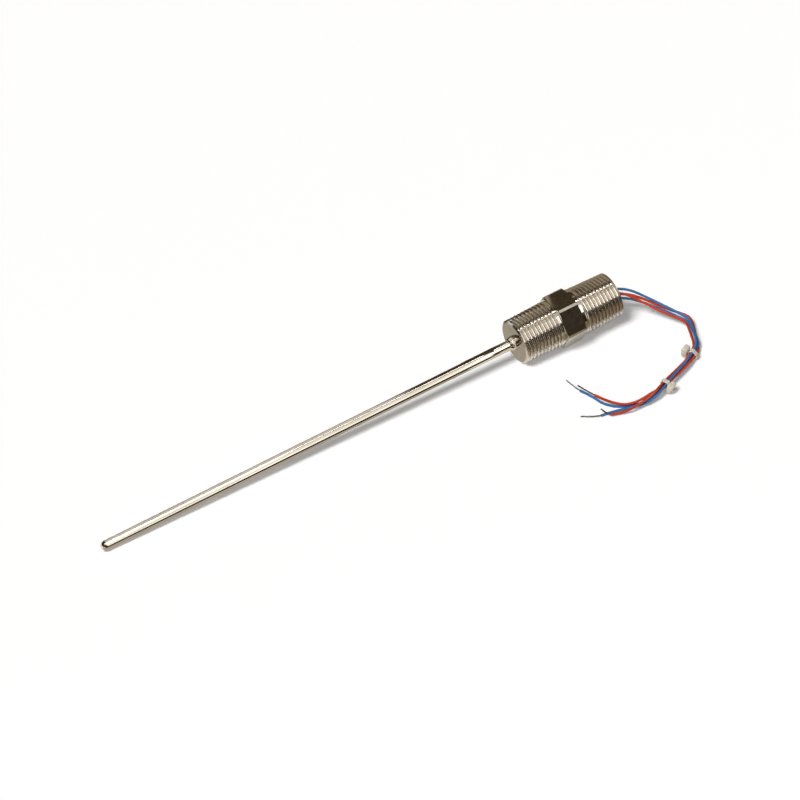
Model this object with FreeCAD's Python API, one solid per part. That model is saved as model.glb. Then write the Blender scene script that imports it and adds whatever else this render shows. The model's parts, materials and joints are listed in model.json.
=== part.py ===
import FreeCAD, Part
import math
import os

from FreeCAD import Placement, Rotation, Vector

# Duplex thermocouple probe: a sheath welded into a hex nipple, with four leads out of the nipple's rear bore.
# All lengths are in millimetres. The pieces are made about the probe's own axis, along X, with x = 0 at the
# nipple's process face and the tip at negative x. The whole probe is then laid down on its tip and its hex.

# Probe sheath
sheath_diameter = 4.76
sheath_wall = 0.6
tip_wall = 1.0
exposed_length = 213.0
sheath_in_chamber = 6.0
sheath_clearance = 0.05

# Hex nipple
process_end_length = 20.2
hex_width = 10.4
rear_end_length = 20.8
hex_across_flats = 22.225
hex_corner_diameter = 25.0
hex_face_diameter = 21.8
hex_chamfer_angle = 20.0
thread_end_diameter = 20.72
thread_taper = 1.0 / 16.0
thread_pitch = 1.814
thread_depth = 0.9
thread_crest_width = 0.6
thread_root_width = 0.2
end_face_diameter = 18.7
end_chamfer_angle = 25.0
neck_diameter = 21.4
neck_width = 0.95
chamber_diameter = 12.0
chamber_depth = 34.0
chamber_point_angle = 118.0
chamber_mouth_chamfer = 0.6

# Weld bead
weld_diameter = 6.4
weld_length = 3.2
weld_bulge = 0.3
weld_penetration = 0.2

# Inside the sheath
conductor_diameter = 0.6
conductor_circle = 1.9
junction_diameter = 0.8
junction_length = 1.2
junction_cover = 2.5
seal_length = 3.0

# Inside the chamber
conductor_lead_out = 2.0
conductor_bend_radius = 4.0
sleeve_diameter = 2.2
sleeve_length = 9.0
sleeve_grip = 1.3
potting_recess = 2.5

# Leads
lead_diameter = 1.15
lead_spacing = 3.4
lead_inset = 5.0
lead_straight_out = 1.0
lead_bend_share = 0.45
bare_diameter = 0.65

# Cable ties
strap_width = 2.0
strap_thickness = 0.65
strap_clearance = 0.18
tie_head_length = 4.6
tie_head_width = 4.4
tie_head_height = 2.8
tie_head_round = 0.8
tie_head_sink = 0.45
tie_stub_length = 0.5

# Lead routes: x is counted from the nipple's rear rim, y from the probe's axis, z from the floor.
# Each lead has the corner of the bore pattern that it leaves from, its route, and its stripped end.
leads = {
    "red_1": {
        "corner": (-1, 1),
        "route": [
            (5.8, -4.5, 11.8), (9.9, -8.7, 8.5), (14.8, -15.4, 5.4), (18.8, -21.9, 4.1), (21.1, -26.6, 3.6),
            (19.6, -31.1, 3.3), (16.95, -38.5, 2.8), (14.48, -42.67, 2.85), (8.0, -46.94, 2.8),
            (1.64, -50.6, 3.9), (-6.78, -54.47, 4.8), (-13.11, -57.51, 5.1), (-16.44, -59.61, 5.7),
            (-22.1, -60.2, 4.0), (-27.7, -60.5, 3.1), (-31.9, -59.5, 1.7), (-35.3, -57.9, 1.0),
            (-38.6, -56.8, 1.3),
        ],
        "bare_straight": 1.2,
        "bare_tip": (-40.5, -51.9, 2.3),
    },
    "blue_1": {
        "corner": (1, 1),
        "route": [
            (7.4, -2.2, 12.7), (11.4, -7.5, 10.6), (16.0, -14.6, 8.2), (20.0, -21.2, 6.1), (22.7, -26.5, 4.7),
            (21.1, -31.8, 4.3), (17.85, -39.5, 3.9), (15.02, -43.51, 3.8), (8.6, -47.86, 3.75),
            (2.34, -51.5, 4.4), (-6.26, -55.6, 4.95), (-12.37, -59.09, 4.55), (-16.3, -60.22, 3.7),
            (-22.2, -60.7, 2.1), (-27.5, -58.4, 1.4), (-32.2, -56.7, 0.9), (-37.2, -54.9, 0.8),
            (-41.9, -54.2, 0.7),
        ],
        "bare_straight": 2.2,
        "bare_tip": (-49.4, -49.2, 0.6),
    },
    "blue_2": {
        "corner": (-1, -1),
        "route": [
            (6.2, -4.0, 9.3), (10.8, -8.0, 7.4), (16.1, -14.5, 5.1), (19.9, -21.2, 3.6), (22.3, -26.5, 3.1),
            (20.9, -31.6, 2.8), (18.55, -40.9, 2.8), (15.11, -43.63, 2.58), (8.63, -47.9, 2.4),
            (2.24, -51.35, 2.8), (-6.76, -54.51, 3.45), (-13.28, -57.14, 2.95), (-16.65, -58.71, 2.8),
            (-22.1, -58.8, 1.6), (-26.8, -57.4, 1.1), (-32.2, -54.4, 0.7), (-36.9, -48.8, 0.7),
            (-38.1, -41.4, 0.8), (-40.3, -34.8, 0.8),
        ],
        "bare_straight": 2.0,
        "bare_tip": (-41.4, -25.3, 0.8),
    },
    "red_2": {
        "corner": (1, -1),
        "route": [
            (7.5, -2.1, 9.9), (11.5, -7.5, 8.7), (16.0, -14.6, 6.7), (20.9, -20.3, 4.9), (24.9, -24.9, 3.4),
            (22.0, -31.8, 1.6), (18.45, -39.5, 0.8), (15.77, -44.63, 1.8), (9.29, -48.9, 2.8),
            (2.94, -52.15, 3.3), (-6.19, -55.74, 3.55), (-12.88, -58.01, 3.75), (-16.77, -58.2, 4.5),
            (-22.3, -58.2, 3.3), (-26.9, -57.6, 2.6), (-31.6, -55.3, 2.3), (-35.2, -48.0, 1.5),
            (-36.9, -41.2, 0.9),
        ],
        "bare_straight": 3.0,
        "bare_tip": (-39.2, -31.1, 0.6),
    },
}
# The two leads of each thermocouple
pairs = [("red_1", "blue_1"), ("red_2", "blue_2")]
# Each tie goes round the bundle at the middle of one run of the route. Its head points sideways (positive is to
# the right of the leads' way) and up.
ties = [
    {"run": 7, "sideways": 0.97, "up": 0.22},
    {"run": 10, "sideways": -0.88, "up": -0.36},
]

# Values that follow from the sizes above
sheath_radius = sheath_diameter / 2
core_radius = sheath_radius - sheath_wall
nipple_length = process_end_length + hex_width + rear_end_length
sheath_bore_radius = sheath_radius + sheath_clearance
chamber_radius = chamber_diameter / 2
chamber_start = nipple_length - chamber_depth
chamber_point = (chamber_radius - sheath_bore_radius) / math.tan(math.radians(chamber_point_angle / 2))
potting_face = nipple_length - potting_recess
sheath_end = chamber_start + sheath_in_chamber
core_tip_centre = -exposed_length + tip_wall + core_radius
core_end = sheath_end - seal_length
junction_rear = core_tip_centre + junction_cover + junction_length
lead_start = nipple_length - lead_inset
sleeve_rear = lead_start + sleeve_grip
sleeve_front = sleeve_rear - sleeve_length

# Rest on the floor: the tip's ball, and either the front edge of the hex's lower flat or the first thread crest
end_chamfer_slope = math.tan(math.radians(end_chamfer_angle))
thread_lead_in = (thread_end_diameter - end_face_diameter) / (2 / end_chamfer_slope - thread_taper)
hex_edge_setback = max(0.0, (hex_across_flats - hex_face_diameter) / 2) * math.tan(math.radians(hex_chamfer_angle))
tip_centre = -exposed_length + sheath_radius
supports = [
    (process_end_length + hex_edge_setback - tip_centre, hex_across_flats / 2),
    (thread_lead_in - tip_centre, (thread_end_diameter + thread_lead_in * thread_taper) / 2),
]
lie_angle = max(math.atan2(drop, span) - math.asin(sheath_radius / math.hypot(span, drop)) for span, drop in supports)
floor_lift = sheath_radius - tip_centre * math.sin(lie_angle)
tip_reach = tip_centre * math.cos(lie_angle) - sheath_radius
rim_reach = nipple_length * math.cos(lie_angle) + end_face_diameter / 2 * math.sin(lie_angle)
middle = (tip_reach + rim_reach) / 2
rear_rim = rim_reach - middle
lying = Placement(Vector(-middle, 0, floor_lift), Rotation(Vector(0, 1, 0), -math.degrees(lie_angle)))

x_axis = Vector(1, 0, 0)
up_axis = Vector(0, 0, 1)


def turned(outline):
    """Solid of revolution about the X axis, from a closed list of edges or (x, radius) corners."""
    if isinstance(outline[0], tuple):
        corners = [Vector(x, radius, 0) for x, radius in outline]
        wire = Part.makePolygon(corners + corners[:1])
    else:
        wire = Part.Wire(outline)
    return Part.Face(wire).revolve(Vector(0, 0, 0), x_axis, 360)


def rod(start, end, diameter, place=(0.0, 0.0)):
    """Round rod along X from start to end, at the given (y, z)."""
    return Part.makeCylinder(diameter / 2, end - start, Vector(start, *place), x_axis)


def edge(start, end):
    return Part.LineSegment(start, end).toShape()


def quarter(centre, radius):
    """Quarter arc of a round tip, from its side to the axis."""
    side = Vector(centre, radius, 0)
    half = Vector(centre - radius * math.cos(math.pi / 4), radius * math.sin(math.pi / 4), 0)
    return Part.Arc(side, half, Vector(centre - radius, 0, 0)).toShape()


def rounded_path(points, bend_radius=None):
    """Straight runs joined by tangent arcs. With no radius given, each arc is as large as its runs allow."""
    edges = []
    radii = []
    last = points[0]
    for before, corner, after in zip(points, points[1:], points[2:]):
        run_in = corner - before
        run_out = after - corner
        half_turn = run_in.getAngle(run_out) / 2
        setback = lead_bend_share * min(run_in.Length, run_out.Length)
        if bend_radius:
            setback = bend_radius * math.tan(half_turn)
        radius = setback / math.tan(half_turn)
        run_in.normalize()
        run_out.normalize()
        arc_start = corner - run_in * setback
        arc_end = corner + run_out * setback
        inward = run_out - run_in
        inward.normalize()
        arc_middle = corner + inward * (radius / math.cos(half_turn) - radius)
        edges.append(edge(last, arc_start))
        edges.append(Part.Arc(arc_start, arc_middle, arc_end).toShape())
        radii.append(radius)
        last = arc_end
    edges.append(edge(last, points[-1]))
    return Part.Wire(edges), radii


def swept(path, points, diameter):
    """Round solid along a path that starts with the run between the first two points."""
    ring = Part.Wire(Part.makeCircle(diameter / 2, points[0], points[1] - points[0]))
    return path.makePipeShell([ring], True, False)


def bore_place(corner, spacing):
    """The (y, z) of one corner of a square pattern about the axis."""
    return corner[0] * spacing / 2, corner[1] * spacing / 2


def thread_radius(distance):
    """Crest radius of a tapered end, at a distance from its end face."""
    return thread_end_diameter / 2 + distance * thread_taper / 2


def tapered_end(length):
    """Outline of one tapered end from its face to the hex, as (distance from the face, radius). Its thread is made
    as rings: a crest, then a groove and a crest for each turn."""
    room = length - neck_width - thread_lead_in - thread_crest_width
    flank = (thread_pitch - thread_crest_width - thread_root_width) / 2
    outline = [(0.0, end_face_diameter / 2), (thread_lead_in, thread_radius(thread_lead_in))]
    crest_end = thread_lead_in + thread_crest_width
    for turn in range(int(room / thread_pitch)):
        root = crest_end + flank
        next_crest = root + thread_root_width + flank
        root_radius = thread_radius(root) - thread_depth
        outline += [
            (crest_end, thread_radius(crest_end)),
            (root, root_radius),
            (root + thread_root_width, root_radius),
            (next_crest, thread_radius(next_crest)),
        ]
        crest_end = next_crest + thread_crest_width
    run_out = thread_radius(crest_end) - neck_diameter / 2
    return outline + [(crest_end, thread_radius(crest_end)), (crest_end + run_out, neck_diameter / 2)]


def hex_collar():
    """Hexagon with a flat below, its corners turned down and chamfered on both faces."""
    corner_radius = hex_corner_diameter / 2
    face_radius = hex_face_diameter / 2
    chamfer = (corner_radius - face_radius) * math.tan(math.radians(hex_chamfer_angle))
    front = process_end_length
    rear = process_end_length + hex_width
    point_radius = hex_across_flats / math.sqrt(3)
    corners = []
    for index in range(7):
        angle = index * math.pi / 3
        corners.append(Vector(front, point_radius * math.cos(angle), point_radius * math.sin(angle)))
    prism = Part.Face(Part.makePolygon(corners)).extrude(Vector(hex_width, 0, 0))
    blank = turned([
        (front, 0.0),
        (front, face_radius),
        (front + chamfer, corner_radius),
        (rear - chamfer, corner_radius),
        (rear, face_radius),
        (rear, 0.0),
    ])
    return prism.common(blank)


def chamber_space(end):
    """The rear chamber with its drilled bottom, up to the given x."""
    return turned([
        (chamber_start - chamber_point, 0.0),
        (chamber_start - chamber_point, sheath_bore_radius),
        (chamber_start, chamber_radius),
        (end, chamber_radius),
        (end, 0.0),
    ])


def hex_nipple():
    front = tapered_end(process_end_length)
    rear = [(nipple_length - x, radius) for x, radius in reversed(tapered_end(rear_end_length))]
    blank = turned([(0.0, 0.0)] + front + rear + [(nipple_length, 0.0)])
    mouth_radius = chamber_radius + chamber_mouth_chamfer
    mouth = turned([
        (nipple_length - chamber_mouth_chamfer, 0.0),
        (nipple_length - chamber_mouth_chamfer, chamber_radius),
        (nipple_length, mouth_radius),
        (nipple_length, 0.0),
    ])
    sheath_bore = rod(0.0, chamber_start, 2 * sheath_bore_radius)
    return blank.fuse(hex_collar()).cut([sheath_bore, chamber_space(nipple_length), mouth]).removeSplitter()


def probe_sheath():
    """Drawn tube with a closed round tip."""
    outer_side = Vector(tip_centre, sheath_radius, 0)
    outer_end = Vector(sheath_end, sheath_radius, 0)
    inner_end = Vector(sheath_end, core_radius, 0)
    inner_side = Vector(core_tip_centre, core_radius, 0)
    inner_tip = Vector(core_tip_centre - core_radius, 0, 0)
    outer_tip = Vector(-exposed_length, 0, 0)
    return turned([
        quarter(tip_centre, sheath_radius),
        edge(outer_side, outer_end),
        edge(outer_end, inner_end),
        edge(inner_end, inner_side),
        quarter(core_tip_centre, core_radius),
        edge(inner_tip, outer_tip),
    ])


def weld_bead():
    """Fillet weld round the sheath, against the process face, with its root fused into the sheath's wall."""
    toe = Vector(-weld_length, sheath_radius, 0)
    shoulder = Vector(0, weld_diameter / 2, 0)
    root = Vector(0, sheath_radius - weld_penetration, 0)
    root_toe = Vector(-weld_length, sheath_radius - weld_penetration, 0)
    slope = shoulder - toe
    outward = Vector(-slope.y, slope.x, 0)
    outward.normalize()
    crown = (toe + shoulder) * 0.5 + outward * weld_bulge
    return turned([Part.Arc(toe, crown, shoulder).toShape(), edge(shoulder, root), edge(root, root_toe),
                   edge(root_toe, toe)])


def conductor(corner):
    """Thermocouple wire from its junction, through the sheath, to the splice with its lead."""
    sheath_place = bore_place(corner, conductor_circle / math.sqrt(2))
    lead_place = bore_place(corner, lead_spacing)
    points = [
        Vector(junction_rear, *sheath_place),
        Vector(sheath_end + conductor_lead_out, *sheath_place),
        Vector(sleeve_front - conductor_lead_out, *lead_place),
        Vector(lead_start, *lead_place),
    ]
    path, _ = rounded_path(points, conductor_bend_radius)
    return swept(path, points, conductor_diameter)


def measuring_junction(pair):
    """Fused bead that joins the ends of the two wires of a pair."""
    half = junction_diameter / 2
    first, second = [bore_place(leads[name]["corner"], conductor_circle / math.sqrt(2)) for name in pair]
    front = junction_rear - junction_length
    bead = rod(front, junction_rear, junction_diameter, first)
    bead = bead.fuse(rod(front, junction_rear, junction_diameter, second))
    width = abs(second[0] - first[0])
    low = Vector(front, min(first[0], second[0]), first[1] - half)
    return bead.fuse(Part.makeBox(junction_length, width, junction_diameter, low)).removeSplitter()


def mineral_core():
    """Packed powder that fills the sheath, before the wires and junctions are cut from it."""
    side = Vector(core_tip_centre, core_radius, 0)
    end_side = Vector(core_end, core_radius, 0)
    end_middle = Vector(core_end, 0, 0)
    tip = Vector(core_tip_centre - core_radius, 0, 0)
    return turned([quarter(core_tip_centre, core_radius), edge(side, end_side), edge(end_side, end_middle),
                   edge(end_middle, tip)])


def splice_sleeve(corner):
    """Sleeve over the joint between a conductor and its lead."""
    place = bore_place(corner, lead_spacing)
    sleeve = rod(sleeve_front, sleeve_rear, sleeve_diameter, place)
    wire_bore = rod(sleeve_front, lead_start, conductor_diameter, place)
    lead_bore = rod(lead_start, sleeve_rear, lead_diameter, place)
    return sleeve.cut([wire_bore, lead_bore])


def lead_points(lead):
    """The whole route of a lead: straight out of its bore, then along the chosen points."""
    place = bore_place(lead["corner"], lead_spacing)
    bore_end = lying.multVec(Vector(lead_start, *place))
    outside = lying.multVec(Vector(nipple_length + lead_straight_out, *place))
    return [bore_end, outside] + [Vector(rear_rim + x, y, z) for x, y, z in lead["route"]]


def lead_and_bare_end(name, lead):
    """Insulated lead and the stripped wire that goes on from its end face."""
    points = lead_points(lead)
    path, radii = rounded_path(points)
    tube = swept(path, points, lead_diameter)
    section = math.pi * lead_diameter ** 2 / 4
    print(name, "length", round(path.Length, 1), "smallest radius", round(min(radii), 1),
          "volume to section times length", round(tube.Volume / (section * path.Length), 4))
    onward = points[-1] - points[-2]
    onward.normalize()
    x, y, z = lead["bare_tip"]
    bare_points = [points[-1], points[-1] + onward * lead["bare_straight"], Vector(rear_rim + x, y, z)]
    bare_path, bare_radii = rounded_path(bare_points)
    print(name, "bare end length", round(bare_path.Length, 1), "radius", round(bare_radii[0], 1))
    return tube, swept(bare_path, bare_points, bare_diameter)


def cable_tie(tie):
    """Strap round the bundle with its locking head and the cut-off stub of its tail, moulded as one piece."""
    runs = []
    for lead in leads.values():
        route = [Vector(rear_rim + x, y, z) for x, y, z in lead["route"]]
        runs.append((route[tie["run"]], route[tie["run"] + 1]))
    middles = [(start + end) * 0.5 for start, end in runs]
    centre = sum(middles, Vector()) * (1.0 / len(middles))
    along = sum([end - start for start, end in runs], Vector())
    along.normalize()
    spread = max((middle - centre).cross(along).Length for middle in middles)
    inner = spread + lead_diameter / 2 + strap_clearance
    outer = inner + strap_thickness

    sideways = along.cross(up_axis)
    sideways.normalize()
    head_way = sideways * tie["sideways"] + up_axis * tie["up"]
    head_way = head_way - along * head_way.dot(along)
    head_way.normalize()
    across = head_way.cross(along)

    base = centre - along * (strap_width / 2)
    loop = Part.makeCylinder(outer, strap_width, base, along)
    opening = Part.makeCylinder(inner, strap_width, base, along)

    # Made with the strap along X and the head upwards, then turned into place
    head_low = outer - tie_head_sink
    head = Part.makeBox(tie_head_width, tie_head_length, tie_head_height,
                        Vector(-tie_head_width / 2, -tie_head_length / 2, head_low))
    head = head.makeFillet(tie_head_round, head.Edges)
    stub = Part.makeBox(strap_width, strap_thickness, tie_head_height / 2 + tie_stub_length,
                        Vector(-strap_width / 2, -strap_thickness / 2, head_low + tie_head_height / 2))
    block = head.fuse(stub)
    block.Placement = Placement(centre, Rotation(along, across, head_way, "XYZ"))
    return loop.fuse(block).cut(opening).removeSplitter()


def build():
    """All pieces by name, lying on the floor."""
    weld = weld_bead()
    conductors = {name: conductor(lead["corner"]) for name, lead in leads.items()}
    sleeves = {name: splice_sleeve(lead["corner"]) for name, lead in leads.items()}
    junctions = [measuring_junction(pair) for pair in pairs]
    wires = list(conductors.values())
    seal = rod(core_end, sheath_end, 2 * core_radius).cut(wires)
    lead_rods = [rod(lead_start, nipple_length, lead_diameter, bore_place(lead["corner"], lead_spacing))
                 for lead in leads.values()]
    sheath_rod = rod(0.0, sheath_end, sheath_diameter)
    potting = chamber_space(potting_face).cut([sheath_rod] + wires + list(sleeves.values()) + lead_rods)

    pieces = {
        "hex_nipple": hex_nipple(),
        "probe_sheath": probe_sheath().cut(weld),
        "weld_bead": weld,
        "mineral_insulation": mineral_core().cut(wires + junctions),
        "sheath_end_seal": seal,
        "potting_compound": potting,
    }
    for index, junction in enumerate(junctions, start=1):
        pieces[f"measuring_junction_{index}"] = junction
    for name in leads:
        pieces[f"conductor_{name}"] = conductors[name]
        pieces[f"splice_sleeve_{name}"] = sleeves[name]
    for shape in pieces.values():
        shape.Placement = lying.multiply(shape.Placement)

    for name, lead in leads.items():
        pieces[f"lead_{name}"], pieces[f"bare_end_{name}"] = lead_and_bare_end(name, lead)
    for index, tie in enumerate(ties, start=1):
        pieces[f"cable_tie_{index}"] = cable_tie(tie)
    return pieces


os.makedirs("parts", exist_ok=True)
for piece_name, piece in build().items():
    piece.exportStep(f"parts/{piece_name}.step")
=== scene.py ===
import bmesh
import bpy
import json
import math

from mathutils import Matrix, Vector


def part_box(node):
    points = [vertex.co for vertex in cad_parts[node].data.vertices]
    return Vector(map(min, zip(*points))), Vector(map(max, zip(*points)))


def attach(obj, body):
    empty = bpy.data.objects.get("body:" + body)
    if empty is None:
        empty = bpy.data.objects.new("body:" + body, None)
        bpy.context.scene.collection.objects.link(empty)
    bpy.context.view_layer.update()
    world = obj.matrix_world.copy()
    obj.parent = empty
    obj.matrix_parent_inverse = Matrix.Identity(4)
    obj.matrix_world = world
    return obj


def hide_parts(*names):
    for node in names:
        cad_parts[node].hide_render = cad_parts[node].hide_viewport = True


# Duplex thermocouple probe: sheath welded into a hex nipple, four leads held by two cable ties.
# Sizes are in millimetres, as in the part's source. Meshes about the probe's axis are made along X,
# with x = 0 at the nipple's process face, and then laid down where the frame has it.
# Blender's own values are in metres.
mm = 0.001

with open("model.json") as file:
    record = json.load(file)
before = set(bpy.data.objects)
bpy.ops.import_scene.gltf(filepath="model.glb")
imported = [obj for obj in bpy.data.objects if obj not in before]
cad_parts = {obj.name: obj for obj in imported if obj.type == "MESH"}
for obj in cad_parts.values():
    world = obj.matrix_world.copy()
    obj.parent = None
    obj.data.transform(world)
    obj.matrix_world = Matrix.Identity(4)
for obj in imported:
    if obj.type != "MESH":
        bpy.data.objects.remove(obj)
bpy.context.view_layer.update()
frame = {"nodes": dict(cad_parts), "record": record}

# Probe sheath
sheath_radius = 2.38
sheath_wall = 0.6
tip_wall = 1.0
exposed_length = 213.0
sheath_in_chamber = 6.0
sheath_columns = 96
tip_rows = 14

# Hex nipple
process_end_length = 20.2
hex_width = 10.4
rear_end_length = 20.8
hex_sides = 6
hex_apothem = 11.1125
hex_corner_radius = 12.5
hex_face_radius = 10.9
hex_chamfer_angle = 20.0
flat_step_angle = 2.5
flat_steps = 10
thread_end_radius = 10.36
thread_taper = 1 / 32
thread_pitch = 1.814
thread_depth = 0.9
thread_crest_width = 0.6
thread_turns = 10
thread_fade = 1.1
end_face_radius = 9.35
end_chamfer_angle = 25.0
neck_radius = 10.7
sheath_bore_radius = 2.43
chamber_radius = 6.0
chamber_depth = 34.0
chamber_point_angle = 118.0
chamber_mouth_chamfer = 0.6
# One turn of the thread with its rounded crest, as (share of the pitch, height from root to crest)
thread_form = [
    (0.00, 1.0), (0.13, 1.0), (0.16, 0.98), (0.19, 0.93), (0.22, 0.85), (0.32, 0.49),
    (0.42, 0.13), (0.45, 0.05), (0.49, 0.0), (0.51, 0.0), (0.55, 0.05), (0.58, 0.13),
    (0.68, 0.49), (0.78, 0.85), (0.81, 0.93), (0.84, 0.98), (0.87, 1.0),
]
# Its materials: faces square to the axis get the second, thread below this height the third, which is
# darker for painted shade in the thread's roots
nipple_looks = ["nipple_steel", "faced_steel", "root_shade_steel"]
square_alignment = 0.99
root_shade_height = 0.45

# Weld bead
weld_radius = 3.2
weld_length = 3.2
weld_bulge = 0.3
weld_penetration = 0.2
weld_rows = 16
weld_columns = 120
weld_scales = 9
weld_scale_lean = 0.55
weld_scale_power = 0.6
weld_ripple = 0.10
# Sine waves round the bead, as (size, waves in one turn, start, shift from toe to face)
weld_spacing_waves = [(0.7, 3, 0.0, 0.0), (0.5, 5, 1.3, 0.0)]
weld_height_waves = [(0.05, 2, 0.4, 0.0), (0.03, 7, 2.0, 7.0)]

# Leads
lead_diameter = 1.15
lead_spacing = 3.4
lead_inset = 5.0
lead_straight_out = 1.0
lead_bevel_steps = 6
curve_order = 3
curve_steps = 10
bare_diameter = 0.65
bare_overlap = 1.0
strands_round = 6
strand_twist = 5.0
strand_sides = 6

# Lead routes, as in the part's source: x from the nipple's rear rim, y from the probe's axis,
# z from the floor
leads = {
    "red_1": {
        "corner": (-1, 1),
        "length": 116.6,
        "route": [
            (5.8, -4.5, 11.8), (9.9, -8.7, 8.5), (14.8, -15.4, 5.4), (18.8, -21.9, 4.1),
            (21.1, -26.6, 3.6), (19.6, -31.1, 3.3), (16.95, -38.5, 2.8), (14.48, -42.67, 2.85),
            (8.0, -46.94, 2.8), (1.64, -50.6, 3.9), (-6.78, -54.47, 4.8), (-13.11, -57.51, 5.1),
            (-16.44, -59.61, 5.7), (-22.1, -60.2, 4.0), (-27.7, -60.5, 3.1), (-31.9, -59.5, 1.7),
            (-35.3, -57.9, 1.0), (-38.6, -56.8, 1.3),
        ],
        "bare_straight": 1.2,
        "bare_tip": (-40.5, -51.9, 2.3),
    },
    "blue_1": {
        "corner": (1, 1),
        "length": 124.8,
        "route": [
            (7.4, -2.2, 12.7), (11.4, -7.5, 10.6), (16.0, -14.6, 8.2), (20.0, -21.2, 6.1),
            (22.7, -26.5, 4.7), (21.1, -31.8, 4.3), (17.85, -39.5, 3.9), (15.02, -43.51, 3.8),
            (8.6, -47.86, 3.75), (2.34, -51.5, 4.4), (-6.26, -55.6, 4.95), (-12.37, -59.09, 4.55),
            (-16.3, -60.22, 3.7), (-22.2, -60.7, 2.1), (-27.5, -58.4, 1.4), (-32.2, -56.7, 0.9),
            (-37.2, -54.9, 0.8), (-41.9, -54.2, 0.7),
        ],
        "bare_straight": 2.2,
        "bare_tip": (-49.4, -49.2, 0.6),
    },
    "blue_2": {
        "corner": (-1, -1),
        "length": 133.1,
        "route": [
            (6.2, -4.0, 9.3), (10.8, -8.0, 7.4), (16.1, -14.5, 5.1), (19.9, -21.2, 3.6),
            (22.3, -26.5, 3.1), (20.9, -31.6, 2.8), (18.55, -40.9, 2.8), (15.11, -43.63, 2.58),
            (8.63, -47.9, 2.4), (2.24, -51.35, 2.8), (-6.76, -54.51, 3.45), (-13.28, -57.14, 2.95),
            (-16.65, -58.71, 2.8), (-22.1, -58.8, 1.6), (-26.8, -57.4, 1.1), (-32.2, -54.4, 0.7),
            (-36.9, -48.8, 0.7), (-38.1, -41.4, 0.8), (-40.3, -34.8, 0.8),
        ],
        "bare_straight": 2.0,
        "bare_tip": (-41.4, -25.3, 0.8),
    },
    "red_2": {
        "corner": (1, -1),
        "length": 130.7,
        "route": [
            (7.5, -2.1, 9.9), (11.5, -7.5, 8.7), (16.0, -14.6, 6.7), (20.9, -20.3, 4.9),
            (24.9, -24.9, 3.4), (22.0, -31.8, 1.6), (18.45, -39.5, 0.8), (15.77, -44.63, 1.8),
            (9.29, -48.9, 2.8), (2.94, -52.15, 3.3), (-6.19, -55.74, 3.55), (-12.88, -58.01, 3.75),
            (-16.77, -58.2, 4.5), (-22.3, -58.2, 3.3), (-26.9, -57.6, 2.6), (-31.6, -55.3, 2.3),
            (-35.2, -48.0, 1.5), (-36.9, -41.2, 0.9),
        ],
        "bare_straight": 3.0,
        "bare_tip": (-39.2, -31.1, 0.6),
    },
}
# The lead whose bare end has lost its shine
worn_lead = "blue_1"

# Cable ties: the run of the route that each one holds, and where its head points,
# to the right of the leads' way and up
ties = [
    {"run": 7, "sideways": 0.97, "up": 0.22},
    {"run": 10, "sideways": -0.88, "up": -0.36},
]
strap_width = 2.0
strap_thickness = 0.65
strap_clearance = 0.1
strap_edge = 0.15
strap_edge_segments = 2
strap_steps = 72
tie_head_length = 4.6
tie_head_width = 4.4
tie_head_height = 2.8
tie_head_round = 0.8
tie_head_round_segments = 4
tie_head_sink = 0.3
tie_slot_margin = 0.35
tie_slot_depth = 0.7
tie_stub_length = 0.5

# Mesh clean-up, and the angles in degrees above which an edge is shaded sharp
merge_distance = 1e-4
sliver_length = 1e-5
nipple_sharp_angle = 25
sheath_sharp_angle = 35
tie_sharp_angle = 40
weld_sharp_angle = 60
strand_sharp_angle = 70

# Part of a noise texture's range that is spread over a colour, and over a roughness
colour_range = (0.35, 0.65)
roughness_range = (0.3, 0.7)

# Studio: the floor in metres, and the heights of the sweep as sines of the angle above the horizon
floor_half_width = 6
paper_colour = (0.88, 0.88, 0.88, 1)
paper_glow_colour = (0.92, 0.96, 1.0, 1)
paper_glow = 0.21
sweep_colour = (1, 1, 1, 1)
sweep_top = 0.04
studio_bottom = 0.07
studio_colour = (0.060, 0.046, 0.026, 1)
card_lift = 0.1

# Camera, at the photograph's viewing angle
camera_place = (-1.40595, -2.57844, 2.54746)
camera_right = Vector((0.84465, -0.53137, -0.06494))
camera_up = Vector((0.38994, 0.52760, 0.75470))
camera_lens = 400
camera_sensor = 36
camera_reach = 100

# Values that follow from the sizes above
nipple_length = process_end_length + hex_width + rear_end_length
half_side_angle = 180 / hex_sides
hex_chamfer_slope = math.tan(math.radians(hex_chamfer_angle))
end_chamfer_slope = math.tan(math.radians(end_chamfer_angle))
thread_lead_in = (thread_end_radius - end_face_radius) / (1 / end_chamfer_slope - thread_taper)
thread_end = thread_lead_in + thread_crest_width + thread_turns * thread_pitch
neck_start = thread_end + thread_end_radius + thread_end * thread_taper - neck_radius
chamber_start = nipple_length - chamber_depth
chamber_point = (chamber_radius - sheath_bore_radius) / math.tan(math.radians(chamber_point_angle / 2))
core_radius = sheath_radius - sheath_wall
weld_root_radius = sheath_radius - weld_penetration
lead_start = nipple_length - lead_inset
# Three strands lie side by side across a bare end
strand_radius = bare_diameter / 6
rear_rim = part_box("hex_nipple")[1][0] / mm

# Where the frame has the probe's axis: the thread's mount is half a process end from the process face
mounts = frame["record"]["mounts"]
thread_mount = next(mount for mount in mounts if mount["name"] == "process_thread")
rearward = -Vector(thread_mount["axis"]).normalized()
sideways = Vector((0, 1, 0))
upward = rearward.cross(sideways)
process_face = Vector(thread_mount["pos_m"]) - rearward * (process_end_length / 2 * mm)
turn = Matrix((rearward, sideways, upward)).transposed().to_4x4()
lying = Matrix.Translation(process_face) @ turn @ Matrix.Scale(mm, 4)


# Meshes

def link(name, data):
    """New object in the scene, with this data."""
    piece = bpy.data.objects.new(name, data)
    bpy.context.scene.collection.objects.link(piece)
    return piece


def shade(mesh, sharp_angle):
    """Shades a mesh smooth, but for its sharp edges."""
    mesh.shade_smooth()
    mesh.set_sharp_from_angle(angle=math.radians(sharp_angle))


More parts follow.
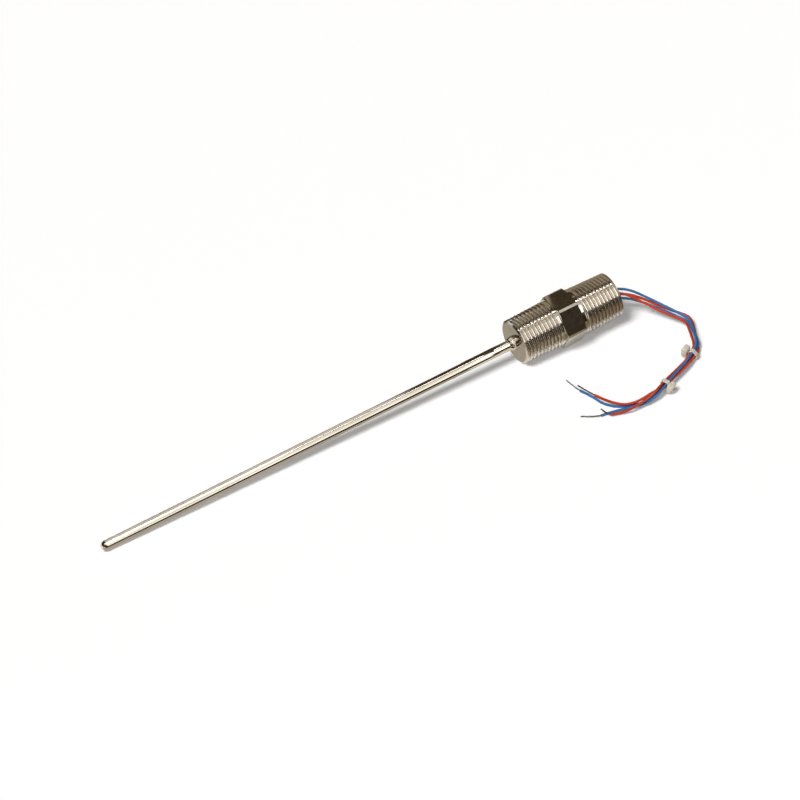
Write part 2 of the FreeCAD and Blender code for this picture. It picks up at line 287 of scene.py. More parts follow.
def mesh_piece(name, points, faces, place, sharp_angle):
    """New object from points in millimetres, moved to its place, with closed seams and outward faces."""
    mesh = bpy.data.meshes.new(name)
    mesh.from_pydata(points, [], faces)
    shape = bmesh.new()
    shape.from_mesh(mesh)
    bmesh.ops.remove_doubles(shape, verts=shape.verts, dist=merge_distance)
    bmesh.ops.dissolve_degenerate(shape, edges=shape.edges, dist=sliver_length)
    bmesh.ops.recalc_face_normals(shape, faces=shape.faces)
    shape.to_mesh(mesh)
    shape.free()
    mesh.transform(place)
    shade(mesh, sharp_angle)
    return link(name, mesh)


def add_piece(piece, slot, node, look=None):
    """Gives a piece its material, lets it ride on the body and stand for its CAD node."""
    piece.data.materials.append(materials[look or slot])
    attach(piece, "root")
    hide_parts(node)
    return piece


def even_angles(count):
    """Angles that share a full turn evenly."""
    return [2 * math.pi * index / count for index in range(count)]


def strip_faces(one, other):
    """Faces between two rows of points."""
    return list(zip(one, one[1:], other[1:], other))


def ring_faces(one, other):
    """Faces between two rows of points that go all the way round."""
    return strip_faces(one + one[:1], other + other[:1])


class Rings:
    """Grid of points round the X axis, built one ring after another."""

    def __init__(self, angles):
        self.angles = angles
        self.points = []
        self.faces = []
        self.last = None

    def row(self, place):
        """Adds the points of one ring. place(angle) gives x and radius."""
        first = len(self.points)
        for angle in self.angles:
            x, radius = place(angle)
            self.points.append((x, radius * math.cos(angle), radius * math.sin(angle)))
        return list(range(first, len(self.points)))

    def join(self, one, other):
        """Adds the faces between two rings."""
        self.faces += ring_faces(one, other)

    def ring(self, place):
        """Adds a ring and joins it to the one before."""
        row = self.row(place)
        if self.last:
            self.join(self.last, row)
        self.last = row
        return row

    def turned(self, x, radius):
        """Adds a round ring and joins it to the one before."""
        return self.ring(lambda angle: (x, radius))

    def thread(self, low, high, radius_at):
        """Adds a right-hand thread between two places on the axis. Its rows follow the helix, so where
        a row has gone once round, it goes on as the row one turn later. radius_at takes x and the thread
        form's height."""
        first_turn = math.floor(low / thread_pitch) - 1
        last_turn = math.ceil(high / thread_pitch)

        def on_helix(start, height):
            def place(angle):
                x = min(max(start + thread_pitch * angle / (2 * math.pi), low), high)
                return x, radius_at(x, height)
            return place

        rows = []
        for number in range(first_turn, last_turn + 1):
            for share, height in thread_form:
                rows.append(self.row(on_helix((number + share) * thread_pitch, height)))
        wrapped = []
        for number, row in enumerate(rows):
            turn_later = rows[min(number + len(thread_form), len(rows) - 1)]
            wrapped.append(row + turn_later[:1])
        self.join(self.last, rows[0])
        for one, other in zip(wrapped, wrapped[1:]):
            self.faces += strip_faces(one, other)
        self.last = rows[-1]


# Hex nipple

def end_radius(distance, height):
    """Radius of a tapered end at a distance from its face, where the thread form has the given height."""
    crest = thread_end_radius + distance * thread_taper
    depth = thread_depth * min(1.0, (thread_end - distance) / thread_fade)
    chamfer = end_face_radius + distance / end_chamfer_slope
    return min(crest - depth * (1 - height), chamfer)


def hex_angles():
    """Angles round the hexagon, with a pair at each corner where the turned land meets the flats."""
    land = math.degrees(math.acos(hex_apothem / hex_corner_radius))
    flat = [flat_step_angle * step for step in range(-flat_steps, flat_steps + 1)]
    sector = [-half_side_angle, -land] + flat + [land]
    middles = [half_side_angle * (2 * side + 1) for side in range(hex_sides)]
    return [math.radians(middle + offset) for middle in middles for offset in sector]


def hex_limit(angle):
    """Radius of the hexagon with its turned corners."""
    offset = math.degrees(angle) % (2 * half_side_angle) - half_side_angle
    return min(hex_apothem / math.cos(math.radians(offset)), hex_corner_radius)


def set_nipple_looks(piece):
    """Gives the nipple's square faces their own material, and its thread roots a darker one that paints
    shade into them.
    """
    standing = lying.inverted()
    for polygon in piece.data.polygons:
        centre = standing @ polygon.center
        distance = min(centre.x, nipple_length - centre.x)
        radius = math.hypot(centre.y, centre.z)
        if abs(polygon.normal.dot(rearward)) > square_alignment:
            polygon.material_index = nipple_looks.index("faced_steel")
        # Thread below the root height gets the darker steel: painted shade in the roots
        elif distance < thread_end and chamber_radius < radius < end_radius(distance, root_shade_height):
            polygon.material_index = nipple_looks.index("root_shade_steel")


def hex_nipple():
    """Bar turned at both ends, with tapered threads, necks, a chamfered hexagon and a stepped bore."""
    rings = Rings(hex_angles())
    hex_front = process_end_length
    hex_rear = process_end_length + hex_width

    def rear_end_radius(x, height):
        return end_radius(nipple_length - x, height)

    def hex_edge(face, inward):
        def place(angle):
            limit = hex_limit(angle)
            return face + inward * (limit - hex_face_radius) * hex_chamfer_slope, limit
        return place

    first = rings.turned(0.0, sheath_bore_radius)
    rings.thread(0.0, thread_end, end_radius)
    rings.turned(neck_start, neck_radius)
    rings.turned(hex_front, neck_radius)
    rings.turned(hex_front, hex_face_radius)
    rings.ring(hex_edge(hex_front, 1))
    rings.ring(hex_edge(hex_rear, -1))
    rings.turned(hex_rear, hex_face_radius)
    rings.turned(hex_rear, neck_radius)
    rings.turned(nipple_length - neck_start, neck_radius)
    rings.thread(nipple_length - thread_end, nipple_length, rear_end_radius)
    rings.turned(nipple_length, chamber_radius + chamber_mouth_chamfer)
    rings.turned(nipple_length - chamber_mouth_chamfer, chamber_radius)
    rings.turned(chamber_start, chamber_radius)
    rings.turned(chamber_start - chamber_point, sheath_bore_radius)
    rings.join(rings.last, first)
    piece = mesh_piece("hex_nipple_threaded", rings.points, rings.faces, lying, nipple_sharp_angle)
    set_nipple_looks(piece)
    return piece


# Weld and sheath

def wave_sum(waves, angle, share):
    """Sum of sine waves round the bead, at a share of the way from its toe to the face."""
    return sum(size * math.sin(count * angle + start + shift * share)
               for size, count, start, shift in waves)


def weld_bead():
    """Fillet weld with the faint scales that the torch leaves round the sheath."""
    rings = Rings(even_angles(weld_columns))
    toe = Vector((-weld_length, sheath_radius))
    slope = Vector((weld_length, weld_radius - sheath_radius))
    outward = Vector((-slope.y, slope.x)).normalized()

    def bead(share):
        def place(angle):
            wave = weld_scales * angle + wave_sum(weld_spacing_waves, angle, share)
            lean = weld_scale_lean * (share - 0.5)
            scale = ((wave / (2 * math.pi) + lean) % 1.0) ** weld_scale_power
            uneven = weld_ripple * (scale - 0.5) + wave_sum(weld_height_waves, angle, share)
            bulge = math.sin(math.pi * share) * (weld_bulge + uneven)
            point = toe + slope * share + outward * bulge
            return point.x, point.y
        return place

    first = rings.turned(-weld_length, weld_root_radius)
    for step in range(weld_rows + 1):
        rings.ring(bead(step / weld_rows))
    rings.turned(0.0, weld_root_radius)
    rings.join(rings.last, first)
    return mesh_piece("weld_bead_scaled", rings.points, rings.faces, lying, weld_sharp_angle)


def probe_sheath():
    """Drawn tube with a closed round tip, and the seat that the weld's root has melted into its wall."""
    rings = Rings(even_angles(sheath_columns))
    tip_centre = -exposed_length + sheath_radius
    core_tip_centre = -exposed_length + tip_wall + core_radius
    sheath_end = chamber_start + sheath_in_chamber
    tip_angles = [step / tip_rows * math.pi / 2 for step in range(tip_rows + 1)]
    for angle in tip_angles:
        rings.turned(tip_centre - sheath_radius * math.cos(angle), sheath_radius * math.sin(angle))
    rings.turned(-weld_length, sheath_radius)
    rings.turned(-weld_length, weld_root_radius)
    rings.turned(0.0, weld_root_radius)
    rings.turned(0.0, sheath_radius)
    rings.turned(sheath_end, sheath_radius)
    rings.turned(sheath_end, core_radius)
    for angle in reversed(tip_angles):
        rings.turned(core_tip_centre - core_radius * math.cos(angle), core_radius * math.sin(angle))
    return mesh_piece("probe_sheath_drawn", rings.points, rings.faces, lying, sheath_sharp_angle)


# Leads and their bare ends

def soft_curve(name, points):
    """Curve of one NURBS spline with these control points, in metres."""
    curve = bpy.data.curves.new(name, "CURVE")
    curve.dimensions = "3D"
    spline = curve.splines.new("NURBS")
    spline.points.add(len(points) - 1)
    for control, point in zip(spline.points, points):
        control.co = (*point, 1)
    spline.order_u = curve_order
    spline.use_endpoint_u = True
    curve.resolution_u = curve_steps
    return link(name, curve)


def bore_place(lead, x):
    """Place on a lead's straight start, at a distance behind the process face, in metres."""
    y, z = [side * lead_spacing / 2 for side in lead["corner"]]
    return lying @ Vector((x, y, z))


def route_place(point):
    """Place of a route's point, in millimetres."""
    x, y, z = point
    return Vector((rear_rim + x, y, z))


def route_points(lead):
    """Control points of a lead, in metres: straight out of its bore, then along the route."""
    straight = [bore_place(lead, lead_start), bore_place(lead, nipple_length + lead_straight_out)]
    return straight + [route_place(point) * mm for point in lead["route"]]


def insulated_lead(name, lead):
    """Round insulation along a lead's route."""
    wire = soft_curve(f"insulated_lead_{name}", route_points(lead))
    wire.data.bevel_depth = lead_diameter / 2 * mm
    wire.data.bevel_resolution = lead_bevel_steps
    wire.data.use_fill_caps = True
    return wire


def bare_line(name, lead):
    """Middle line of a stripped end, in millimetres: on from the lead's end, then over to its tip."""
    points = route_points(lead)
    onward = (points[-1] - points[-2]).normalized()
    start = points[-1] - onward * bare_overlap * mm
    elbow = points[-1] + onward * lead["bare_straight"] * mm
    guide = soft_curve(f"guide_{name}", [start, elbow, route_place(lead["bare_tip"]) * mm])
    mesh = bpy.data.meshes.new_from_object(guide)
    line = [vertex.co / mm for vertex in mesh.vertices]
    bpy.data.meshes.remove(mesh)
    bpy.data.objects.remove(guide)
    return line


def directions(line):
    """Unit direction at each point of a line."""
    ends = zip([line[0]] + line[:-1], line[1:] + [line[-1]])
    return [(after - before).normalized() for before, after in ends]


def strand_rows(line, offset, start):
    """Rows of points of one strand, twisted round a line. start is its first angle, in turns."""
    rows = []
    travelled = 0.0
    before = line[0]
    for point, way in zip(line, directions(line)):
        travelled += (point - before).length
        before = point
        side = way.cross(Vector((0, 0, 1))).normalized()
        over = side.cross(way)
        twist = 2 * math.pi * (start + travelled / strand_twist)
        middle = point + offset * (side * math.cos(twist) + over * math.sin(twist))
        rows.append([middle + strand_radius * (side * math.cos(angle) + over * math.sin(angle))
                     for angle in even_angles(strand_sides)])
    return rows


def bare_end(name, lead):
    """Twisted strands of the stripped wire, one in the middle and the others round it."""
    line = bare_line(name, lead)
    points = []
    faces = []
    for strand in range(strands_round + 1):
        offset = 2 * strand_radius if strand else 0.0
        rings = []
        for row in strand_rows(line, offset, strand / strands_round):
            rings.append(list(range(len(points), len(points) + strand_sides)))
            points += row
        faces.append(rings[0])
        for one, other in zip(rings, rings[1:]):
            faces += ring_faces(one, other)
        faces.append(rings[-1])
    return mesh_piece(f"stranded_end_{name}", points, faces, Matrix.Scale(mm, 4), strand_sharp_angle)


# Cable ties

def tie_frame(tie):
    """Middles of the four leads under a tie, in its own directions, and the matrix that places it."""
    runs = []
    for lead in leads.values():
        start, end = lead["route"][tie["run"]:tie["run"] + 2]
        runs.append((route_place(start), route_place(end)))
    middles = [(start + end) / 2 for start, end in runs]
    centre = sum(middles, Vector()) / len(middles)
    along = sum((end - start for start, end in runs), Vector()).normalized()
    right = along.cross(Vector((0, 0, 1))).normalized()
    head_way = right * tie["sideways"] + Vector((0, 0, tie["up"]))
    head_way = (head_way - along * head_way.dot(along)).normalized()
    across = head_way.cross(along)
    offsets = [middle - centre for middle in middles]
    flat = [Vector((offset.dot(across), offset.dot(head_way))) for offset in offsets]
    turned = Matrix((along, across, head_way)).transposed().to_4x4()
    return flat, Matrix.Scale(mm, 4) @ Matrix.Translation(centre) @ turned


def strap_section():
    """Outline of the strap with its broken edges, as (place along the leads, height above them)."""
    side = strap_width / 2
    inner_side = side - strap_edge
    top = strap_thickness
    inner_top = top - strap_edge
    return [(-inner_side, 0.0), (inner_side, 0.0), (side, strap_edge), (side, inner_top),
            (inner_side, top), (-inner_side, top), (-side, inner_top), (-side, strap_edge)]


def strap_loop(middles):
    """Strap pulled tight round the four leads, as points and faces. X is along the leads."""
    section = strap_section()
    points = []
    rings = []
    for angle in even_angles(strap_steps):
        outward = Vector((math.cos(angle), math.sin(angle)))
        nearest = max(middles, key=outward.dot)
        rings.append(list(range(len(points), len(points) + len(section))))
        for x, height in section:
            place = nearest + outward * (lead_diameter / 2 + strap_clearance + height)
            points.append((x, place.x, place.y))
    faces = []
    for one, other in zip(rings, rings[1:] + rings[:1]):
        faces += ring_faces(one, other)
    return points, faces


def block(shape, size, low, round_edge, segments):
    """Adds a box with rounded edges to a mesh under work, standing on z = low."""
    corners = bmesh.ops.create_cube(shape, size=1.0)["verts"]
    for corner in corners:
        x, y, z = corner.co
        corner.co = Vector((x * size[0], y * size[1], (z + 0.5) * size[2] + low))
    edges = list(dict.fromkeys(edge for corner in corners for edge in corner.link_edges))
    bmesh.ops.bevel(shape, geom=edges, offset=round_edge, segments=segments, profile=0.5, affect="EDGES")


def cable_tie(index, tie):
    """Strap, locking head with its slot, and the cut-off stub of the tail in the slot."""
    middles, place = tie_frame(tie)
    points, faces = strap_loop(middles)
    lead_top = max(middle.y for middle in middles) + lead_diameter / 2
    head_low = lead_top + strap_clearance + strap_thickness - tie_head_sink
    slot_floor = head_low + tie_head_height - tie_slot_depth
    head_size = (tie_head_width, tie_head_length, tie_head_height)
    stub_size = (strap_width, strap_thickness, tie_slot_depth + tie_stub_length)
    piece = mesh_piece(f"cable_tie_moulded_{index}", points, faces, Matrix.Identity(4), tie_sharp_angle)

    shape = bmesh.new()
    shape.from_mesh(piece.data)
    block(shape, head_size, head_low, tie_head_round, tie_head_round_segments)
    top = max(shape.faces, key=lambda face: face.calc_center_median().z)
    bmesh.ops.inset_individual(shape, faces=[top], thickness=tie_slot_margin)
    sunk = bmesh.ops.extrude_discrete_faces(shape, faces=[top])["faces"][0]
    bmesh.ops.translate(shape, verts=sunk.verts, vec=(0, 0, -tie_slot_depth))
    block(shape, stub_size, slot_floor, strap_edge, strap_edge_segments)
    shape.to_mesh(piece.data)
    shape.free()
    piece.data.transform(place)
    shade(piece.data, tie_sharp_angle)
    return piece


# Materials

class Paint:
    """A material under work: its shader, and the texture nodes that feed it."""

    def __init__(self, name):
        self.material = bpy.data.materials.new(name)
        self.material.use_nodes = True
        self.nodes = self.material.node_tree.nodes
        self.links = self.material.node_tree.links
        self.shader = self.nodes["Principled BSDF"]
        self.coordinates = self.nodes.new("ShaderNodeTexCoord").outputs["Object"]

    def set(self, **values):
        """Sets values on the shader. Their names are its sockets', with _ for a space."""
        for name, value in values.items():
            self.shader.inputs[name.replace("_", " ")].default_value = value

    def noise(self, scale, detail, stretch=(1, 1, 1)):
        """Noise at a scale per metre, stretched along the axes."""
        mapping = self.nodes.new("ShaderNodeMapping")
        mapping.inputs["Scale"].default_value = stretch
        self.links.new(self.coordinates, mapping.inputs["Vector"])
        noise = self.nodes.new("ShaderNodeTexNoise")
        noise.inputs["Scale"].default_value = scale
        noise.inputs["Detail"].default_value = detail
        self.links.new(mapping.outputs["Vector"], noise.inputs["Vector"])
        return noise.outputs["Fac"]

    def colour(self, source, dark, light):
        """Base colour between two colours, by a texture."""
        ramp = self.nodes.new("ShaderNodeValToRGB")
        for element, position, shown in zip(ramp.color_ramp.elements, colour_range, (dark, light)):
            element.position = position
            element.color = (*shown, 1)
        self.links.new(source, ramp.inputs["Fac"])
        self.links.new(ramp.outputs["Color"], self.shader.inputs["Base Color"])

    def roughness(self, source, smooth, rough):
        """Roughness between two values, by a texture."""
        spread = self.nodes.new("ShaderNodeMapRange")
        spread.inputs["From Min"].default_value = roughness_range[0]
        spread.inputs["From Max"].default_value = roughness_range[1]
        spread.inputs["To Min"].default_value = smooth
        spread.inputs["To Max"].default_value = rough
        self.links.new(source, spread.inputs["Value"])
        self.links.new(spread.outputs["Result"], self.shader.inputs["Roughness"])

    def bump(self, source, strength, distance):
        """Fine relief by a texture, with its height in millimetres."""
        bump = self.nodes.new("ShaderNodeBump")
        bump.inputs["Strength"].default_value = strength
        bump.inputs["Distance"].default_value = distance * mm
        self.links.new(source, bump.inputs["Height"])
        self.links.new(bump.outputs["Normal"], self.shader.inputs["Normal"])


def nipple_steel():
    """Turned stainless steel: bright, with faint stains and scuffs."""
    paint = Paint("nipple_steel")
    paint.set(Metallic=1.0)
    paint.colour(paint.noise(420, 4), (0.56, 0.51, 0.44), (0.68, 0.63, 0.555))
    paint.roughness(paint.noise(700, 3), 0.08, 0.14)
    paint.bump(paint.noise(1100, 3), 0.05, 0.02)
    return paint.material


def faced_steel():
    """Faces cut square to the axis: flat enough to mirror the sheath."""
    paint = Paint("faced_steel")
    paint.set(Metallic=1.0)
    paint.colour(paint.noise(500, 4), (0.54, 0.49, 0.41), (0.60, 0.55, 0.47))
    paint.roughness(paint.noise(800, 3), 0.10, 0.18)
    paint.bump(paint.noise(1500, 3), 0.08, 0.02)
    return paint.material


def root_shade_steel():
    """Thread roots, darker with painted shade for the shade that falls in the grooves, and rougher."""
    paint = Paint("root_shade_steel")
    paint.set(Metallic=1.0)
    paint.colour(paint.noise(600, 4), (0.50, 0.45, 0.38), (0.58, 0.53, 0.455))
    paint.roughness(paint.noise(900, 3), 0.20, 0.32)
    paint.bump(paint.noise(1500, 3), 0.08, 0.02)
    return paint.material


def sheath_steel():
    """Drawn stainless tube: fine lines along its length."""
    paint = Paint("sheath_steel")
    paint.set(Metallic=1.0)
    paint.colour(paint.noise(120, 3, (0.4, 1, 1)), (0.66, 0.60, 0.51), (0.76, 0.70, 0.61))
    paint.roughness(paint.noise(500, 3, (0.05, 1, 1)), 0.06, 0.10)
    paint.bump(paint.noise(1800, 2, (0.02, 1, 1)), 0.10, 0.01)
    return paint.material


def weld_steel():
    """Weld metal with a slight heat tint."""
    paint = Paint("weld_steel")
    paint.set(Metallic=1.0)
    paint.colour(paint.noise(600, 4), (0.64, 0.58, 0.49), (0.80, 0.73, 0.62))
    paint.roughness(paint.noise(900, 3), 0.12, 0.22)
    paint.bump(paint.noise(1600, 4), 0.08, 0.03)
    return paint.material


def insulation(name, dark, light):
    """Extruded plastic of a lead: slight colour drift, fine ripples from the die."""
    paint = Paint(name)
    paint.set(Specular_IOR_Level=0.45)
    paint.colour(paint.noise(90, 2), dark, light)
    paint.roughness(paint.noise(400, 3), 0.32, 0.46)
    paint.bump(paint.noise(1500, 3), 0.08, 0.03)
    return paint.material


def wire_metal(name, dark, light, smooth, rough):
    """Drawn wire, bright or oxidised in patches."""
    paint = Paint(name)
    paint.set(Metallic=1.0)
    paint.colour(paint.noise(900, 4), dark, light)
    paint.roughness(paint.noise(1200, 3), smooth, rough)
    paint.bump(paint.noise(5000, 2), 0.1, 0.02)
    return paint.material


def tie_nylon():
    """Natural nylon: milky and slightly see-through."""
    paint = Paint("tie_nylon")
    paint.set(
        Subsurface_Weight=0.6,
        Subsurface_Radius=(1.0, 0.9, 0.75),
        Subsurface_Scale=0.8 * mm,
        Specular_IOR_Level=0.5,
    )
    paint.colour(paint.noise(500, 3), (0.60, 0.55, 0.46), (0.72, 0.68, 0.59))
    paint.roughness(paint.noise(800, 3), 0.30, 0.45)
    paint.bump(paint.noise(2000, 3), 0.08, 0.04)
    return paint.material


def dull(name, dark, light, scale, smooth, rough):
    """Mat material of a piece inside: powder, resin or sleeve."""
    paint = Paint(name)
    paint.colour(paint.noise(scale, 4), dark, light)
    paint.roughness(paint.noise(scale * 2, 3), smooth, rough)
    paint.bump(paint.noise(scale * 3, 4), 0.2, 0.05)
    return paint.material


materials = {
    "nipple_steel": nipple_steel(),
    "faced_steel": faced_steel(),
    # Darker steel for the thread roots: painted shade
    "root_shade_steel": root_shade_steel(),
    "sheath_steel": sheath_steel(),
    "weld_steel": weld_steel(),
    "red_insulation": insulation("red_insulation", (0.42, 0.028, 0.006), (0.58, 0.047, 0.009)),
    "blue_insulation": insulation("blue_insulation", (0.028, 0.120, 0.31), (0.042, 0.160, 0.385)),
    "bare_dark": wire_metal("bare_dark", (0.05, 0.035, 0.025), (0.16, 0.12, 0.09), 0.35, 0.5),
    "bare_tinned": wire_metal("bare_tinned", (0.62, 0.60, 0.56), (0.90, 0.89, 0.87), 0.3, 0.5),
    "bare_worn": wire_metal("bare_worn", (0.12, 0.11, 0.085), (0.36, 0.34, 0.29), 0.3, 0.5),
    "tie_nylon": tie_nylon(),
    "mineral_powder": dull("mineral_powder", (0.75, 0.74, 0.70), (0.85, 0.84, 0.81), 2500, 0.8, 0.95),
    "epoxy": dull("epoxy", (0.020, 0.019, 0.018), (0.05, 0.047, 0.042), 300, 0.3, 0.5),
    "sleeve_plastic": dull("sleeve_plastic", (0.03, 0.03, 0.03), (0.06, 0.06, 0.06), 500, 0.4, 0.6),
    "copper": wire_metal("copper", (0.70, 0.32, 0.18), (0.85, 0.44, 0.27), 0.2, 0.35),
    "constantan": wire_metal("constantan", (0.52, 0.46, 0.38), (0.68, 0.62, 0.53), 0.2, 0.35),
}


# The pieces

nipple = add_piece(hex_nipple(), nipple_looks[0], "hex_nipple")
for look in nipple_looks[1:]:
    nipple.data.materials.append(materials[look])
add_piece(weld_bead(), "weld_steel", "weld_bead")
add_piece(probe_sheath(), "sheath_steel", "probe_sheath")

for index, tie in enumerate(ties, start=1):
    add_piece(cable_tie(index, tie), "tie_nylon", f"cable_tie_{index}")

for name, lead in leads.items():
    colour = name.split("_")[0]
    bare_slot = "bare_dark" if colour == "red" else "bare_tinned"
    bare_look = "bare_worn" if name == worn_lead else bare_slot
    tip = add_piece(bare_end(name, lead), bare_slot, f"bare_end_{name}", bare_look)
    wire = add_piece(insulated_lead(name, lead), f"{colour}_insulation", f"lead_{name}")

# CAD nodes that stay take their slot's material
inner_slots = {
    "mineral_insulation": "mineral_powder",
    "sheath_end_seal": "epoxy",
    "potting_compound": "epoxy",
    "measuring_junction": "constantan",
    "conductor_red": "copper",
    "conductor_blue": "constantan",
    "splice_sleeve": "sleeve_plastic",
}
for node_name, node in frame["nodes"].items():
    for start, slot in inner_slots.items():
        if node_name.startswith(start):
            node.data.materials.clear()
            node.data.materials.append(materials[slot])


# Floor, cards, light and camera

def floor_paint():
    """White paper that keeps the shadow and otherwise shows as white to the camera and in metal."""
    material = bpy.data.materials.new("floor_paper")
    material.use_nodes = True
    nodes = material.node_tree.nodes
    links = material.node_tree.links
    nodes.remove(nodes["Principled BSDF"])
    paper = nodes.new("ShaderNodeBsdfDiffuse")
    paper.inputs["Color"].default_value = paper_colour
    glow = nodes.new("ShaderNodeEmission")
    glow.inputs["Color"].default_value = paper_glow_colour
    path = nodes.new("ShaderNodeLightPath")
    seen = nodes.new("ShaderNodeMath")
    seen.operation = "ADD"
    links.new(path.outputs["Is Camera Ray"], seen.inputs[0])
    links.new(path.outputs["Is Glossy Ray"], seen.inputs[1])
    seen_too = nodes.new("ShaderNodeMath")
    seen_too.operation = "ADD"
    links.new(seen.outputs["Value"], seen_too.inputs[0])
    links.new(path.outputs["Is Transmission Ray"], seen_too.inputs[1])
    level = nodes.new("ShaderNodeMath")
    level.operation = "MULTIPLY"
    level.inputs[1].default_value = paper_glow
    links.new(seen_too.outputs["Value"], level.inputs[0])
    links.new(level.outputs["Value"], glow.inputs["Strength"])
    both = nodes.new("ShaderNodeAddShader")
    links.new(paper.outputs["BSDF"], both.inputs[0])
    links.new(glow.outputs["Emission"], both.inputs[1])
    links.new(both.outputs["Shader"], nodes["Material Output"].inputs["Surface"])
    return material


def card_paint(name, glow):
    """Card that shows in reflections at its own level, whatever falls on it."""
    material = bpy.data.materials.new(name)
    material.use_nodes = True
    shader = material.node_tree.nodes["Principled BSDF"]
    shader.inputs["Base Color"].default_value = (0, 0, 0, 1)
    shader.inputs["Specular IOR Level"].default_value = 0
    shader.inputs["Emission Color"].default_value = (*glow, 1)
    shader.inputs["Emission Strength"].default_value = 1
    return material


def sheet(name, corners, material):
    """Flat stage piece with four corners, in metres."""
    mesh = bpy.data.meshes.new(name)
    mesh.from_pydata(corners, [], [(0, 1, 2, 3)])
    mesh.materials.append(material)
    piece = link(name, mesh)
    return piece


def floor():
    """Square of white paper under the part."""
    corners = [(-1, -1, 0), (1, -1, 0), (1, 1, 0), (-1, 1, 0)]
    sheet("floor", [Vector(corner) * floor_half_width for corner in corners], floor_paint())


def card(name, corners, material):
    """Stage piece that shows only in reflections, with four corners in millimetres."""
    piece = sheet(name, [Vector(corner) * mm for corner in corners], material)
    piece.visible_camera = False
    piece.visible_diffuse = False
    piece.visible_shadow = False


def long_card(name, x_range, low, high, material):
    """Card along the probe. low and high are its edges, as (y, z)."""
    left, right = x_range
    card(name, [(left, *low), (right, *low), (right, *high), (left, *high)], material)


def floor_card(name, x_range, y_range, material):
    """Card that lies just above the floor."""
    near, far = y_range
    long_card(name, x_range, (near, card_lift), (far, card_lift), material)


def upright_card(name, x_range, y, z_range, material):
    """Card that stands along the probe."""
    bottom, top = z_range
    long_card(name, x_range, (y, bottom), (y, top), material)


def cross_card(name, x, y_range, z_range, material):
    """Card that stands across the probe."""
    near, far = y_range
    bottom, top = z_range
    card(name, [(x, near, bottom), (x, far, bottom), (x, far, top), (x, near, top)], material)


def reflection_cards():
    """Cards that give the metal its dark and brown bands."""
    black = card_paint("black_card", (0.028, 0.018, 0.006))
    dark = card_paint("dark_card", (0.055, 0.042, 0.022))
    umber = card_paint("umber_card", (0.26, 0.215, 0.15))
    brown = card_paint("brown_card", (0.36, 0.31, 0.23))
    tan = card_paint("tan_card", (0.44, 0.38, 0.29))
    pale = card_paint("pale_card", (0.52, 0.48, 0.42))
    cream = card_paint("cream_card", (0.72, 0.67, 0.58))
    light = card_paint("light_card", (0.98, 0.92, 0.80))
    upright_card("card_before_hex", (112, 132), -49, (0, 42), black)
    upright_card("card_before_threads", (86, 220), -50, (8, 35), dark)
    upright_card("card_low", (86, 220), -50, (0, 8), umber)
    floor_card("card_floor_process", (86, 117), (-50, -13.5), brown)
    floor_card("card_floor_rear", (117, 220), (-50, -12.5), umber)
    upright_card("card_behind", (85, 220), 35, (0, 30), brown)
    long_card("card_above_process", (92, 115), (35, 30), (20, 75), tan)
    long_card("card_above_rear", (128, 190), (35, 30), (20, 75), brown)
    upright_card("card_before_sheath", (-150, 82), -26, (0, 9.5), black)
    floor_card("card_floor_sheath", (-150, 76), (-26, -14), black)
    floor_card("card_floor_face", (76, 86), (-26, -14), cream)
    floor_card("card_floor_behind", (50, 81.5), (-1, 36), pale)
    upright_card("card_behind_face", (66, 85), 35, (0, 30), dark)
    floor_card("card_under_sheath", (-150, 60), (-14, -1), pale)
    floor_card("card_under_sheath_end", (60, 82), (-4, -1), pale)
    floor_card("card_under_weld", (60, 82), (-14, -4), light)
    cross_card("card_beside_rim", 70, (-3, 10), (14, 30), dark)


def area_light(name, centre, aim, size, radiance):
    """Soft light at a place, facing a point. Its first side is along the probe as far as that allows."""
    width, height = size
    data = bpy.data.lights.new(name, "AREA")
    data.shape = "RECTANGLE"
    data.size = width
    data.size_y = height
    data.energy = radiance * math.pi * width * height
    lamp = link(name, data)
    back = (Vector(centre) - Vector(aim)).normalized()
    side = (Vector((1, 0, 0)) - back * back.x).normalized()
    axes = Matrix((side, back.cross(side), back)).transposed().to_4x4()
    lamp.matrix_world = Matrix.Translation(centre) @ axes
    lamp.visible_camera = False
    return lamp


def soft_box(name, centre, aim, size, radiance):
    """Soft light that shows only in the metal's reflections."""
    lamp = area_light(name, centre, aim, size, radiance)
    lamp.visible_diffuse = False


def sun(name, from_way, strength, angle):
    """Sun that casts the shadow and is kept out of reflections."""
    data = bpy.data.lights.new(name, "SUN")
    data.energy = strength
    data.angle = math.radians(angle)
    lamp = link(name, data)
    lamp.rotation_euler = Vector(from_way).to_track_quat("Z", "Y").to_euler()
    lamp.visible_glossy = False


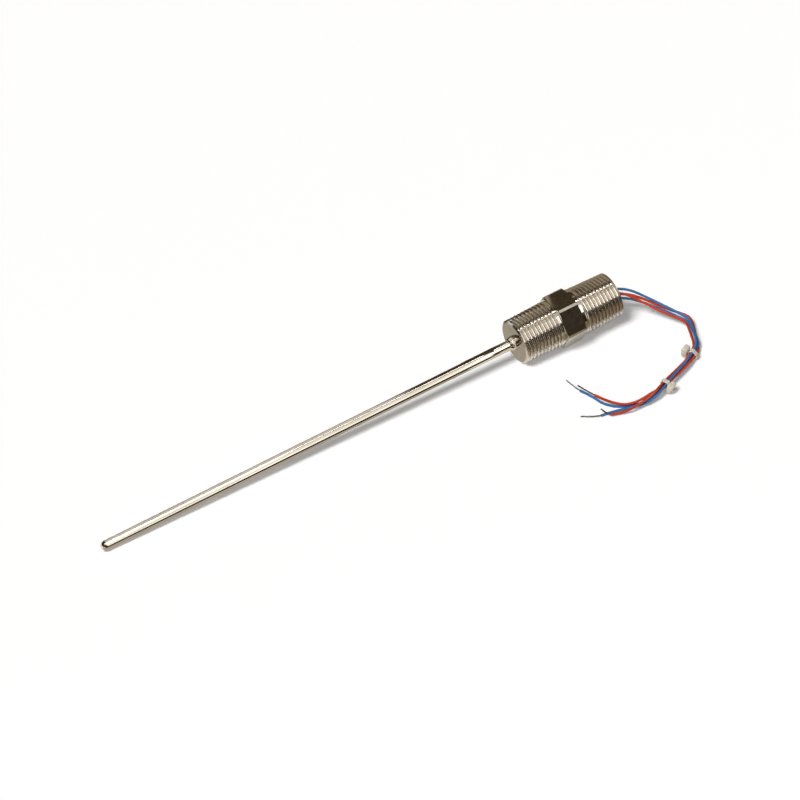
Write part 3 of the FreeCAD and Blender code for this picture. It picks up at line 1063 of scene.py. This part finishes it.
def studio_lamps():
    """Key sun, fill light, and the boxes whose reflections are the highlights."""
    origin = (0, 0, 0)
    sun("key", (-0.55, -0.22, 1.0), strength=2.98, angle=22)
    fill = area_light("fill", (-0.30, -1.10, 1.00), origin, size=(1.2, 1.0), radiance=0.5)
    fill.visible_glossy = False
    soft_box("front_box", (0.66, -0.70, 0.72), (0.14, 0, 0), size=(0.48, 0.80), radiance=2.3)
    soft_box("sheath_front_box", (0.28, -0.72, 0.81), origin, size=(0.30, 0.70), radiance=1.0)
    soft_box("sheath_low_box", (0.34, -0.98, 0.30), origin, size=(0.50, 0.44), radiance=1.5)
    soft_box("weld_box", (-0.04, -0.70, 0.77), (0.08, 0, 0.01), size=(0.34, 0.70), radiance=1.3)
    soft_box("over_box", (0.725, -0.26, 0.97), origin, size=(0.41, 0.26), radiance=1.2)
    soft_box("sheath_over_box", (0.21, -0.26, 0.97), origin, size=(0.62, 0.26), radiance=0.7)
    soft_box("strip", (0.30, 0.03, 1.05), origin, size=(1.6, 0.07), radiance=6.5)
    soft_box("sheath_top_box", (-0.163, -0.10, 0.40), (-0.163, -0.10, 0), size=(0.475, 0.30), radiance=1.0)
    soft_box("sheath_back_card", (0.045, 0.26, 0.30), (0.045, 0, 0), size=(0.21, 0.40), radiance=0.7)


def studio_world():
    """Dim warm studio with a white sweep at the horizon."""
    world = bpy.data.worlds.new("studio")
    world.use_nodes = True
    nodes = world.node_tree.nodes
    links = world.node_tree.links
    coordinates = nodes.new("ShaderNodeTexCoord")
    parts = nodes.new("ShaderNodeSeparateXYZ")
    links.new(coordinates.outputs["Generated"], parts.inputs["Vector"])
    ramp = nodes.new("ShaderNodeValToRGB")
    ramp.color_ramp.elements[0].position = sweep_top
    ramp.color_ramp.elements[0].color = sweep_colour
    ramp.color_ramp.elements[1].position = studio_bottom
    ramp.color_ramp.elements[1].color = studio_colour
    links.new(parts.outputs["Z"], ramp.inputs["Fac"])
    links.new(ramp.outputs["Color"], nodes["Background"].inputs["Color"])
    bpy.context.scene.world = world


def photo_camera():
    """Camera at the photograph's viewing angle."""
    data = bpy.data.cameras.new("camera")
    data.lens = camera_lens
    data.sensor_width = camera_sensor
    data.clip_end = camera_reach
    camera = link("camera", data)
    axes = Matrix((camera_right, camera_up, camera_right.cross(camera_up))).transposed().to_4x4()
    camera.matrix_world = Matrix.Translation(camera_place) @ axes
    bpy.context.scene.camera = camera


floor()
reflection_cards()
studio_world()
studio_lamps()
photo_camera()
bpy.context.scene.view_settings.view_transform = "Standard"
